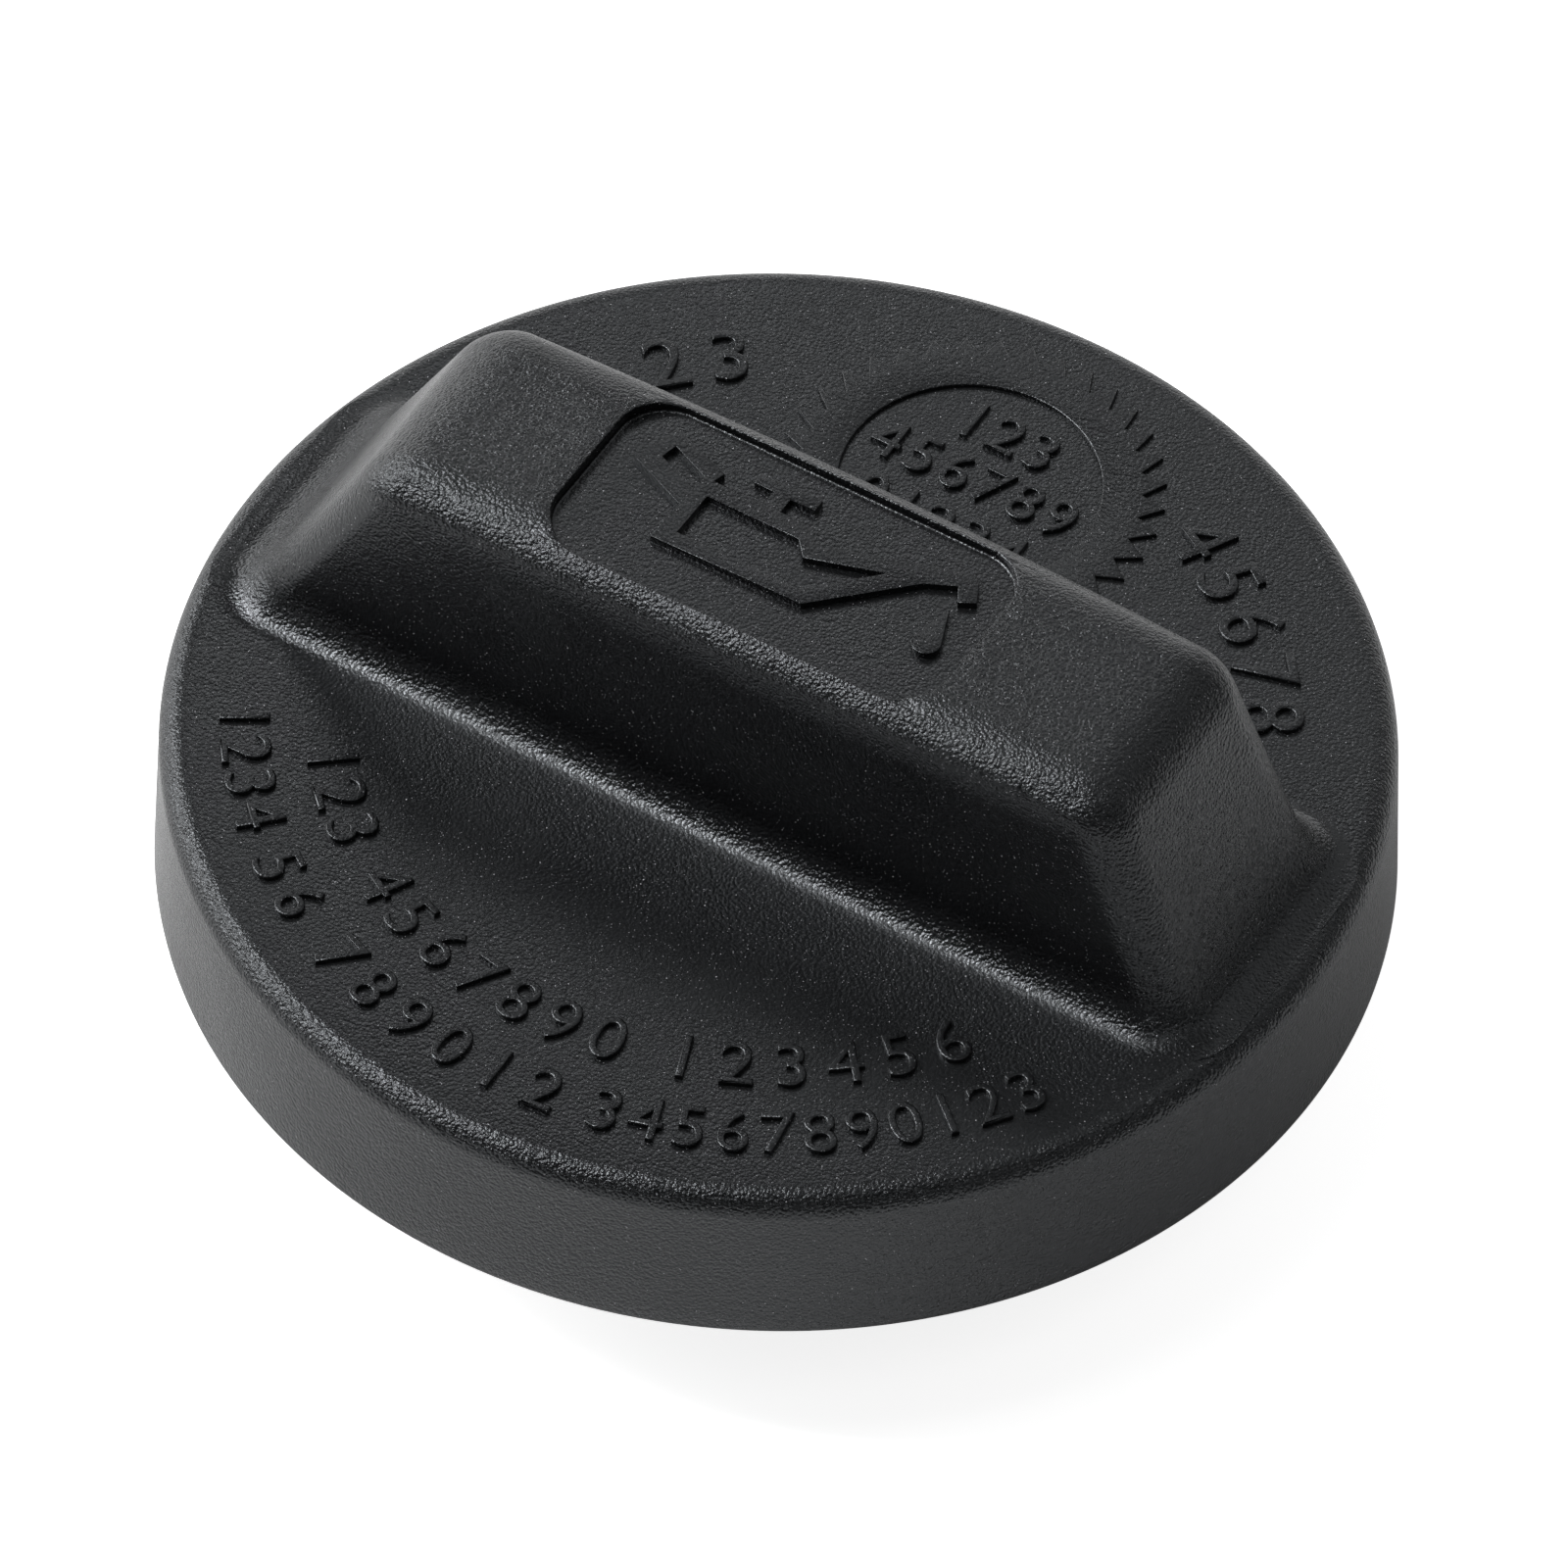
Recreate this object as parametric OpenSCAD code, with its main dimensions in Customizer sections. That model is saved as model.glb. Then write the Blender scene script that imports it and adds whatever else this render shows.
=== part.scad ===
// Oil filler cap: a moulded cover with a hollow bar grip, a bayonet plug staked under it, and a seal ring.
// The cap stands on the open end of its plug: z = 0 is that end, +Z is up, and the grip runs along X.

/* [Cover] */
// Diameter of the cover at its lower rim
cover_d = 64; // [60:0.5:72]
// Height of the skirt, from its rim to the top of the disc
skirt_h = 9.9; // [9:0.1:13]
// Radius that the skirt loses from its rim to the top
skirt_draft = 0.35; // [0:0.05:0.8]
// Rounding where the skirt turns into the disc
rim_round = 1.4; // [0.6:0.1:1.6]
// Thickness of the skirt wall
skirt_wall = 2.2; // [1.6:0.1:2.6]
// Thickness of the disc
disc_wall = 2.4; // [1.8:0.1:3]
// Fillet inside the skirt, under the disc
inner_fillet = 0.6; // [0.3:0.1:0.8]

/* [Grip] */
// Height of the grip above the disc
grip_h = 13.5; // [10:0.1:18]
// Distance from the cover's rim in to the foot of each ramp
grip_inset = 3.9; // [3.7:0.1:7]
// How far each ramp runs in on its way up, on average
ramp_run = 6.3; // [4:0.1:9]
// How far the top stands off centre, which makes one ramp steeper
top_shift = 1; // [0:0.1:1.5]
// Width of the grip across its top
grip_top_w = 13.8; // [13:0.1:15]
// Width of the grip at the disc
grip_foot_w = 15.4; // [15:0.1:18]
// Rounding along the top's long edges
grip_edge_r = 2.2; // [0.8:0.1:2.4]
// Rounding from the top into the end ramps
grip_end_r = 4; // [2:0.1:5]
// Rounding of the upright corners between side and ramp
grip_corner_r = 2.4; // [2.3:0.1:3]
// Blend from the long sides into the disc
side_blend = 1.8; // [0.8:0.1:2.2]
// Blend from the end ramps into the disc
end_blend = 3.6; // [1.5:0.1:4]
// Rise of the top at its middle, over its ends
grip_crown = 0.45; // [0:0.05:0.8]
// Swell of each long side at its middle, over its ends
grip_bow = 0.3; // [0:0.05:0.6]
// Thickness of the grip's side walls and ramps
grip_wall = 2.2; // [1.8:0.1:2.6]
// Thickness of the grip's top
grip_top_wall = 2.8; // [2.2:0.1:3.4]
// Thickness of the cross ribs inside the grip
grip_rib = 1.4; // [1:0.1:2]
// Distance between the cross ribs inside the grip
grip_rib_pitch = 13; // [9:0.5:16]

/* [Pocket in the grip's top] */
// Length of the pocket that holds the sign
pocket_l = 23; // [18:0.5:30]
// Width of the pocket
pocket_w = 11.3; // [8:0.1:11.6]
// Corner radius of the pocket
pocket_r = 2.8; // [1:0.1:4]
// Depth of the pocket
pocket_d = 1.2; // [0.4:0.1:1.3]

/* [Plug] */
// Length of the plug that stands out below the skirt
plug_drop = 8.6; // [7:0.1:14]
// Room for the filler neck, between the plug's tube and the skirt
neck_room = 11.45; // [11:0.05:13]
// Thickness of the tube's wall
tube_wall = 2.6; // [2:0.1:3.2]
// Thickness of the flange and of the plate that closes the tube
flange_t = 2.2; // [1.8:0.1:3]
// Play between the flange's edge and the centring ribs in the skirt
flange_gap = 0.15; // [0.1:0.05:0.4]
// How far the centring ribs stand in from the skirt
centring_rib_h = 0.9; // [0.5:0.1:1.2]
// Width of each centring rib
centring_rib_w = 1.6; // [1:0.1:2.4]
// Number of centring ribs
centring_ribs = 12; // [6:1:18]
// Height of the key that sits in the grip's hollow
key_h = 2.4; // [1.5:0.1:4]
// Play around the key
key_gap = 0.2; // [0.1:0.05:0.4]
// Distance from the foot of each ramp in to the end of the key
key_inset = 6.1; // [4:0.1:12]
// Lead-in chamfer at the plug's open end
tube_chamfer = 0.9; // [0.4:0.1:1.4]
// Number of gussets inside the tube, under the plate
gussets = 6; // [3:1:8]
// Reach of each gusset, down the wall and in along the plate
gusset_l = 4; // [2:0.2:6]
// Thickness of each gusset
gusset_t = 1.4; // [1:0.1:2]

/* [Bayonet lugs] */
// Number of lugs round the tube
lugs = 3; // [2:1:4]
// How far a lug stands out of the tube
lug_out = 2.2; // [1.4:0.1:2.4]
// Angle that each lug covers
lug_angle = 62; // [40:2:76]
// Height of a lug above the plug's open end
lug_z = 1.6; // [1.2:0.1:3]
// Thickness of a lug
lug_t = 3; // [2:0.1:3.6]
// Rise of the lug's upper face from its nose to its stop
lug_rise = 1.6; // [0.8:0.1:2]
// Height of the stop at the end of the lug's upper face
stop_h = 1.8; // [1:0.1:2]
// Chamfer under each lug
lug_chamfer = 0.9; // [0.4:0.1:1.2]

/* [Stakes] */
// Number of stakes that hold the plug to the cover
stakes = 6; // [4:2:8]
// Diameter of each stake
stake_d = 3.2; // [2.4:0.1:3.6]
// Play round a stake in its hole
stake_gap = 0.15; // [0.1:0.05:0.3]
// Diameter of the flattened head of a stake
stake_head_d = 5; // [4.2:0.1:5.2]
// Height of the head
stake_head_h = 1.1; // [0.8:0.1:1.6]

/* [Seal ring] */
// Width of the seal ring, across its section
seal_w = 4.6; // [3:0.1:4.8]
// Thickness of the seal ring
seal_t = 3.2; // [2.4:0.1:3.6]
// Depth of the groove in the tube that holds the ring
seal_groove = 0.7; // [0.4:0.1:1]
// Play between the ring and the tube, and under the ring in its groove
seal_gap = 0.1; // [0.05:0.05:0.2]
// Width of the channel between the two sealing lips
channel_w = 1.4; // [0.8:0.1:2]
// Depth of the channel
channel_d = 0.6; // [0.3:0.1:1]
// Chamfer on the ring's outer edge
seal_chamfer = 0.5; // [0.2:0.1:0.8]

/* [Hidden] */
$fn = 96;
// Overlap that makes joined solids one, and cuts run past faces
eps = 0.5;
// Height over the disc at which a blend ends, so that it meets the disc at an edge
blend_end = 0.06;
// Steps in a quarter turn of a rounded edge, and along a straight side of the grip
arc_steps = 6;
side_steps = 10;
// Steps along a lug, and the share of it that tapers to the nose
lug_steps = 14;
nose_share = 0.25;

rim_z = plug_drop;
disc_z = rim_z + skirt_h;
under_z = disc_z - disc_wall;
flange_z = under_z - flange_t;
rim_r = cover_d / 2;
top_r = rim_r - skirt_draft;
inner_r = top_r - skirt_wall;
flange_r = inner_r - centring_rib_h - flange_gap;
tube_r = inner_r - neck_room;
bore_r = tube_r - tube_wall;
groove_r = tube_r - seal_groove;
seal_in_r = groove_r + seal_gap;
seal_out_r = seal_in_r + seal_w;
stake_circle_r = flange_r - stake_head_d / 2 - 0.3;

grip_foot_l = cover_d - 2 * grip_inset;
grip_top_l = grip_foot_l - 2 * ramp_run;
key_l = grip_foot_l - 2 * key_inset;

// Leans of the grip's ramps and long sides, as run over rise
end_lean = ramp_run / grip_h;
side_lean = (grip_foot_w - grip_top_w) / 2 / grip_h;

// Half of the grip's size at height h: a leaning wall, with a blend at its foot and a rounded upper edge.
// Both arcs are tangent to the wall: their centres lie one radius off it, measured square to the wall.
function wall_at(h, foot, lean, top, blend, round_r) =
    let(
        slope = sqrt(1 + lean * lean),
        line = foot - h * lean,
        blend_x = foot - blend * lean + blend * slope,
        round_x = foot - (top - round_r) * lean - round_r * slope
    )
    blend > 0 && h < blend * (1 - lean / slope)
        ? blend_x - sqrt(max(0, blend * blend - (blend - h) * (blend - h)))
        : h > top - round_r * (1 - lean / slope)
            ? round_x + sqrt(max(0, round_r * round_r - pow(h - top + round_r, 2)))
            : line;

// Quarter of a circle about (x, y), from angle a
function quarter(x, y, r, a) = [
    for (i = [0 : arc_steps]) [x + r * cos(a + i * 90 / arc_steps), y + r * sin(a + i * 90 / arc_steps)]
];

// Points between the ends of a straight side
function between(p, q, n) = [for (i = [1 : 1 : n - 1]) p + (q - p) * i / n];

// Rounded rectangle of half sizes a and b, counter-clockwise, its points in pairs that mirror across X
function rounded(a, b, r) = concat(
    quarter(a - r, b - r, r, 0),
    between([a - r, b], [r - a, b], side_steps),
    quarter(r - a, b - r, r, 90),
    quarter(r - a, r - b, r, 180),
    between([r - a, -b], [a - r, -b], side_steps),
    quarter(a - r, r - b, r, 270)
);

// The crown lowers the grip's ends, the bow draws its sides in there, and the shift moves it along X:
// all three grow with height
function bent(p, h) =
    let(
        rise = max(0, h) / grip_h,
        off = pow(p[0] / (grip_top_l / 2), 2) * rise,
        narrow = 1 - grip_bow / (grip_top_w / 2) * off
    )
    [p[0] + top_shift * rise, p[1] * narrow, disc_z + h - grip_crown * off];

// One ring of the grip's outer surface at height h over the disc
function outer_ring(h) =
    let(
        hb = max(h, blend_end),
        a = wall_at(hb, grip_foot_l / 2, end_lean, grip_h, end_blend, grip_end_r),
        b = wall_at(hb, grip_foot_w / 2, side_lean, grip_h, side_blend, grip_edge_r),
        drawn_in = b - (grip_foot_w / 2 - hb * side_lean)
    )
    [for (p = rounded(a, b, grip_corner_r + drawn_in)) bent(p, h)];

// One ring of the grip's hollow, a wall's thickness inside the outer surface
function hollow_ring(h) =
    let(
        top = grip_h - grip_top_wall,
        end_foot = grip_foot_l / 2 - grip_wall * sqrt(1 + end_lean * end_lean),
        side_foot = grip_foot_w / 2 - grip_wall * sqrt(1 + side_lean * side_lean),
        a = wall_at(h, end_foot, end_lean, top, 0, grip_edge_r),
        b = wall_at(h, side_foot, side_lean, top, 0, grip_edge_r)
    )
    [for (p = rounded(a, b, max(grip_corner_r - grip_wall, 0) + 0.8)) bent(p, h)];

// Heights of the rings: steps round an arc of radius r that ends at height top
function arc_heights(top, r) = [for (i = [0 : arc_steps]) top - r + r * sin(i * 90 / arc_steps)];

// Closed loft through rings of equal length, each mirrored across X, with strips along Y as its two ends
module loft(rings) {
    n = len(rings[0]);
    m = len(rings);
    points = [for (ring = rings) each ring];
    last = (m - 1) * n;
    walls = [
        for (j = [0 : m - 2], i = [0 : n - 1])
            [j * n + i, (j + 1) * n + i, (j + 1) * n + (i + 1) % n, j * n + (i + 1) % n]
    ];
    halves = [for (w = walls) each [[w[0], w[1], w[2]], [w[0], w[2], w[3]]]];
    bottom = [for (k = [0 : n / 2 - 2]) [k, k + 1, n - k - 2, n - k - 1]];
    lid = [for (f = bottom) [for (i = [3 : -1 : 0]) f[i] + last]];
    polyhedron(points, concat(halves, bottom, lid), convexity = 4);
}

// Outer form of the grip, down into the disc
module grip_form() {
    foot_steps = [for (i = [0 : arc_steps - 1]) blend_end + side_blend * (1 - cos(i * 90 / arc_steps))];
    blend_steps = [for (t = [0.55 : 0.25 : 1.3]) t * end_blend];
    wall_steps = [for (t = [0.35 : 0.12 : 0.6]) t * grip_h];
    top_arc = arc_heights(grip_h, grip_end_r);
    edge_arc = [for (h = arc_heights(grip_h, grip_edge_r)) if (h > top_arc[3]) h];
    end_arc = [for (h = top_arc) if (h < edge_arc[0]) h];
    heights = concat([-disc_wall / 2], foot_steps, blend_steps, wall_steps, end_arc, edge_arc);
    loft([for (h = heights) outer_ring(h)]);
}

// The grip's hollow, open through the underside of the disc and crossed by ribs
module grip_hollow() {
    top = grip_h - grip_top_wall;
    heights = concat([-disc_wall - eps, 0], arc_heights(top, grip_edge_r));
    rib_foot = under_z + key_h + key_gap;
    difference() {
        loft([for (h = heights) hollow_ring(h)]);
        for (x = [-grip_rib_pitch : grip_rib_pitch : grip_rib_pitch])
            translate([x - grip_rib / 2, -grip_foot_w, rib_foot])
                cube([grip_rib, 2 * grip_foot_w, 2 * grip_h]);
    }
}

// Disc and skirt, as one revolved profile
module disc_and_skirt() {
    rim_arc = [
        for (i = [0 : arc_steps])
            [
                top_r - rim_round + rim_round * sin(i * 90 / arc_steps),
                disc_z - rim_round + rim_round * cos(i * 90 / arc_steps)
            ]
    ];
    inner_arc = [
        for (i = [0 : arc_steps])
            [
                inner_r - inner_fillet + inner_fillet * cos(i * 90 / arc_steps),
                under_z - inner_fillet + inner_fillet * sin(i * 90 / arc_steps)
            ]
    ];
    edge = inner_fillet / 2;
    rim_inner_r = rim_r - skirt_wall;
    rotate_extrude()
        polygon(concat(
            [[0, disc_z]],
            rim_arc,
            [[rim_r, rim_z + edge], [rim_r - edge, rim_z]],
            [[rim_inner_r + edge, rim_z], [rim_inner_r, rim_z + edge]],
            inner_arc,
            [[0, under_z]]
        ));
}

// Ribs inside the skirt that centre the flange, flush with the fillet's outside
module centring_ribs_ring() {
    for (i = [0 : centring_ribs - 1])
        rotate([0, 0, (i + 0.5) * 360 / centring_ribs])
            translate([flange_r + flange_gap, -centring_rib_w / 2, flange_z - centring_rib_h])
                cube([centring_rib_h + eps, centring_rib_w, under_z - flange_z + centring_rib_h + eps]);
}

// Places its children at each stake
module at_stakes() {
    for (i = [0 : stakes - 1])
        rotate([0, 0, (i + 0.5) * 360 / stakes])
            translate([stake_circle_r, 0, 0]) children();
}

// A stake: a pin through the flange, flattened into a domed head below it
module stake() {
    head_r = stake_head_d / 2;
    translate([0, 0, flange_z - eps / 2]) cylinder(d = stake_d, h = flange_t + eps);
    translate([0, 0, flange_z])
        rotate_extrude()
            polygon(concat(
                [[0, 0], [head_r, 0]],
                [
                    for (i = [1 : arc_steps])
                        [head_r * cos(i * 90 / arc_steps), -stake_head_h * sin(i * 90 / arc_steps)]
                ]
            ));
}

module cover() {
    color("#1d1f21") {
        difference() {
            union() {
                disc_and_skirt();
                grip_form();
            }
            grip_hollow();
            translate([0, 0, disc_z + grip_h - pocket_d])
                linear_extrude(pocket_d + eps)
                    polygon(rounded(pocket_l / 2, pocket_w / 2, pocket_r));
        }
        centring_ribs_ring();
        at_stakes() stake();
    }
}

// One lug: a section swept round the tube, tapered to a nose, its upper face rising to a stop
module lug() {
    in_r = bore_r + tube_wall / 2;
    out_r = tube_r + lug_out;
    stop_from = 1 - 2 / lug_steps;
    rings = [
        for (i = [0 : lug_steps])
            let(
                t = i / lug_steps,
                a = (t - 0.5) * lug_angle,
                grow = min(1, 0.35 + 0.65 * t / nose_share),
                top = lug_z + lug_t - lug_rise * (1 - t) + (t > stop_from ? stop_h : 0),
                out = tube_r + lug_out * grow
            )
            [
                for (p = [
                    [in_r, lug_z],
                    [max(out - lug_chamfer, in_r), lug_z],
                    [out, lug_z + lug_chamfer],
                    [out, top],
                    [in_r, top]
                ]) [p[0] * cos(a), p[0] * sin(a), p[1]]
            ]
    ];
    n = len(rings[0]);
    last = lug_steps * n;
    sides = [
        for (j = [0 : lug_steps - 1], i = [0 : n - 1])
            each [
                [j * n + i, j * n + (i + 1) % n, (j + 1) * n + (i + 1) % n],
                [j * n + i, (j + 1) * n + (i + 1) % n, (j + 1) * n + i]
            ]
    ];
    ends = [[for (i = [n - 1 : -1 : 0]) i], [for (i = [0 : n - 1]) last + i]];
    polyhedron([for (ring = rings) each ring], concat(sides, ends), convexity = 4);
}

// Tube, its closing plate and the flange, as one revolved profile
module tube_and_flange() {
    edge = tube_chamfer / 2;
    groove_z = flange_z - seal_t - seal_gap;
    rotate_extrude()
        polygon([
            [0, flange_z],
            [bore_r, flange_z],
            [bore_r, edge],
            [bore_r + edge, 0],
            [tube_r - tube_chamfer, 0],
            [tube_r, tube_chamfer],
            [tube_r, groove_z - seal_groove],
            [groove_r, groove_z],
            [groove_r, flange_z],
            [flange_r - edge, flange_z],
            [flange_r, flange_z + edge],
            [flange_r, under_z],
            [0, under_z]
        ]);
}

// Key on the plate, which sits in the grip's hollow and carries the turning force
module key() {
    key_w = 2 * (hollow_ring(key_h - disc_wall)[arc_steps][1] - key_gap);
    translate([-key_l / 2, -key_w / 2, under_z - eps]) cube([key_l, key_w, key_h + eps]);
}

module bayonet_plug() {
    color("#232527") {
        difference() {
            union() {
                tube_and_flange();
                key();
            }
            at_stakes()
                translate([0, 0, flange_z - eps])
                    cylinder(d = stake_d + 2 * stake_gap, h = flange_t + 2 * eps);
        }
        for (i = [0 : lugs - 1])
            rotate([0, 0, i * 360 / lugs]) lug();
        for (i = [0 : gussets - 1])
            rotate([0, 0, (i + 0.5) * 360 / gussets])
                translate([bore_r + eps, gusset_t / 2, flange_z + eps])
                    rotate([90, 0, 0])
                        linear_extrude(gusset_t)
                            polygon([[0, 0], [-gusset_l - 2 * eps, 0], [0, -gusset_l - 2 * eps]]);
    }
}

module seal_ring() {
    mid_r = (seal_in_r + seal_out_r) / 2;
    face_z = flange_z - seal_t;
    color("#151515")
        rotate_extrude()
            polygon([
                [seal_in_r, flange_z],
                [seal_in_r, face_z],
                [mid_r - channel_w / 2, face_z],
                [mid_r - channel_w / 4, face_z + channel_d],
                [mid_r + channel_w / 4, face_z + channel_d],
                [mid_r + channel_w / 2, face_z],
                [seal_out_r - seal_chamfer, face_z],
                [seal_out_r, face_z + seal_chamfer],
                [seal_out_r, flange_z]
            ]);
}

cover();
bayonet_plug();
seal_ring();
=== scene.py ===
"""Oil filler cap: a black moulded cover with a bar grip, its bayonet plug and its seal ring.

Shapes are worked out in millimetres, in the cap's own frame, and put into meshes in metres. Angles are in
degrees unless a function says otherwise. The cap stands on its plug at z = 0, +Z is up, and the grip runs
along X.
"""

import math

import bmesh
import bpy
import numpy as np
from mathutils import Matrix, Vector


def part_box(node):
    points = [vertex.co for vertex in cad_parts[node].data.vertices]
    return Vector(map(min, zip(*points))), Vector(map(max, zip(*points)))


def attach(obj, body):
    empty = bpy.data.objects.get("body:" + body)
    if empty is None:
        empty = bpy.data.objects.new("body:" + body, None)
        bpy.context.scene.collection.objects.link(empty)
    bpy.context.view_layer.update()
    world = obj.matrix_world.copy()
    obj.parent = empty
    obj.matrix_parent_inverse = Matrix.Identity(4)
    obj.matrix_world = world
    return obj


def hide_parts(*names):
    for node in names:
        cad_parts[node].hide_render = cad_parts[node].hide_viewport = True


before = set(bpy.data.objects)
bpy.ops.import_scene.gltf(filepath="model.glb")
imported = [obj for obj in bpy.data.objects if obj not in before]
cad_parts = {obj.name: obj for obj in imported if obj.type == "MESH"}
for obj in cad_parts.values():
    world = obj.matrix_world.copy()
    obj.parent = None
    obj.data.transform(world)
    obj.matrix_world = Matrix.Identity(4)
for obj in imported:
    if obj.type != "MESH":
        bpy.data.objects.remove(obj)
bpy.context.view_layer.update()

MM = 0.001
FACETS_ROUND = 192
SMOOTH_ANGLE = 32
WELD_DISTANCE = 1e-7
# How far a rib, gusset, key or stake's head is sunk into the piece that carries it
SINK = 0.3
RIB_SINK = 0.4
RIB_TOP_SINK = 0.5
HEAD_SINK = 0.05

# Heights and radii that the frame gives
COVER_LOW, COVER_HIGH = (np.array(corner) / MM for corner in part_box("cover"))
RING_LOW, RING_HIGH = (np.array(corner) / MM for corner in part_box("seal_ring"))
RIM_R = float(COVER_HIGH[0])
RIM_Z = float(COVER_LOW[2])
SEAL_OUT_R = float(RING_HIGH[0])
SEAL_FACE_Z = float(RING_LOW[2])
FLANGE_Z = float(RING_HIGH[2])

# Cover
SKIRT_H = 9.9
SKIRT_DRAFT = 0.35
SKIRT_WALL = 2.2
RIM_ROUND = 1.4
RIM_FOOT_ROUND = 0.3
DISC_WALL = 2.4
INNER_FILLET = 0.6
DISC_Z = RIM_Z + SKIRT_H
UNDER_Z = DISC_Z - DISC_WALL
TOP_R = RIM_R - SKIRT_DRAFT
INNER_R = TOP_R - SKIRT_WALL

# Grip. Its long top edges are a quarter of an ellipse, EDGE_DROP high and EDGE_STRETCH times as wide.
GRIP_H = 13.5
GRIP_FOOT_L = 56.2
RAMP_RUN = 6.3
GRIP_TOP_L = GRIP_FOOT_L - 2 * RAMP_RUN
TOP_SHIFT = 1.0
GRIP_TOP_W = 13.8
GRIP_FOOT_W = 15.4
EDGE_DROP = 1.9
EDGE_STRETCH = 1.6
GRIP_END_R = 4.0
GRIP_CORNER_R = 2.4
SIDE_BLEND = 1.8
END_BLEND = 3.6
GRIP_CROWN = 0.45
GRIP_BOW = 0.3
GRIP_WALL = 2.2
GRIP_TOP_WALL = 2.8
HOLLOW_EDGE_R = 2.2
HOLLOW_CORNER_R = 1.0
GRIP_RIB = 1.4
GRIP_RIB_PITCH = 13.0
GRIP_RIB_LEVEL = 3.0
END_LEAN = RAMP_RUN / GRIP_H
SIDE_LEAN = (GRIP_FOOT_W - GRIP_TOP_W) / 2 / GRIP_H

# Pocket in the grip's top, and the sign in it
POCKET_L = 23.0
POCKET_W = 11.3
POCKET_R = 2.8
POCKET_D = 0.85
POCKET_EDGE_R = 0.12
POCKET_FILLET = 0.15
POCKET_Z = DISC_Z + GRIP_H - POCKET_D
# Rings of the pocket's floor, that far inside its wall
POCKET_FLOOR_RINGS = (0.4, 1.6)
SIGN_H = 0.7
SIGN_EDGE = 0.05

# Plug
TUBE_R = 18.0
TUBE_WALL = 2.6
TUBE_CHAMFER = 0.9
FLANGE_GAP = 0.15
CENTRING_RIB_H = 0.9
CENTRING_RIB_W = 1.6
CENTRING_RIBS = 12
FLANGE_R = INNER_R - CENTRING_RIB_H - FLANGE_GAP
BORE_R = TUBE_R - TUBE_WALL
SEAL_GROOVE = 0.7
SEAL_GAP = 0.1
GUSSETS = 6
GUSSET_L = 4.0
GUSSET_T = 1.4
KEY_L = 44.0
KEY_W = 10.6
KEY_H = 2.4
KEY_GAP = 0.2
LUGS = 3
LUG_OUT = 2.2
LUG_ANGLE = 62.0
LUG_Z = 1.6
LUG_T = 3.0
LUG_RISE = 1.6
STOP_H = 1.8
LUG_CHAMFER = 0.9
NOSE_SHARE = 0.25
NOSE_START = 0.35
STOP_START = 0.8575
STAKES = 6
STAKE_HEAD_D = 5.0
STAKE_HEAD_H = 1.1
STAKE_MARGIN = 0.3
STAKE_CIRCLE_R = FLANGE_R - STAKE_HEAD_D / 2 - STAKE_MARGIN

# Seal ring
SEAL_IN_R = TUBE_R - SEAL_GROOVE + SEAL_GAP
CHANNEL_W = 1.4
CHANNEL_D = 0.6
SEAL_CHAMFER = 0.5

# Raised marks on the disc, a figure's height as a share of its font's size, and the share of the edge's
# rounding by which a figure's outline is drawn in
MARK_H = 0.28
MARK_EDGE = 0.1
FIGURE_SHARE = 0.72
FIGURE_THINNING = 0.8


def turn_steps(n, start=0.0, end=90.0):
    """n + 1 angles in radians, evenly from start to end in degrees."""
    return np.radians(np.linspace(start, end, n + 1))


# Points on a grip outline: along a long side, a corner and a short side, and half the angle that a side spans
# as seen from the cap's axis
LONG_STEPS = 110
CORNER_STEPS = 22
SHORT_STEPS = 34
LONG_SPAN = 60
SHORT_SPAN = 20


def outline_template():
    """Directions of a rounded rectangle's points, counter-clockwise from the corner by +X and +Y.

    Each point is the matching point of a smaller sharp rectangle, at (cx, cy) in half sizes, plus the corner
    radius in the direction t. Along an arc (cx, cy) stays on its corner and t turns, and along a side t
    stays. Points along a side follow a tangent, closer together at its middle, so that they stand evenly as
    seen from the cap's axis.
    """
    cx, cy, t = [], [], []
    sides = [
        (1, 1, 0, LONG_STEPS, LONG_SPAN),
        (-1, 1, 90, SHORT_STEPS, SHORT_SPAN),
        (-1, -1, 180, LONG_STEPS, LONG_SPAN),
        (1, -1, 270, SHORT_STEPS, SHORT_SPAN),
    ]
    for k, (sx, sy, angle, n, span) in enumerate(sides):
        nx, ny = sides[(k + 1) % 4][:2]
        span = math.radians(span)
        along = 0.5 + 0.5 * np.tan(np.linspace(-span, span, n + 1)[1:-1]) / math.tan(span)
        cx.append(np.concatenate([np.full(CORNER_STEPS + 1, sx), sx + (nx - sx) * along]))
        cy.append(np.concatenate([np.full(CORNER_STEPS + 1, sy), sy + (ny - sy) * along]))
        t.append(turn_steps(CORNER_STEPS, angle, angle + 90))
        t.append(np.full(n - 1, np.radians(angle + 90)))
    return np.concatenate(cx), np.concatenate(cy), np.concatenate(t)


TEMPLATE = outline_template()


def rounded(a, b, r):
    """Rounded rectangles of half sizes a and b and corner radius r, one for each value.

    They come as an array (rings, points, 2).
    """
    cx, cy, t = TEMPLATE
    a, b, r = (np.atleast_1d(np.asarray(v, float))[:, None] for v in np.broadcast_arrays(a, b, r))
    return np.stack([cx * (a - r) + r * np.cos(t), cy * (b - r) + r * np.sin(t)], -1)


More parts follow.
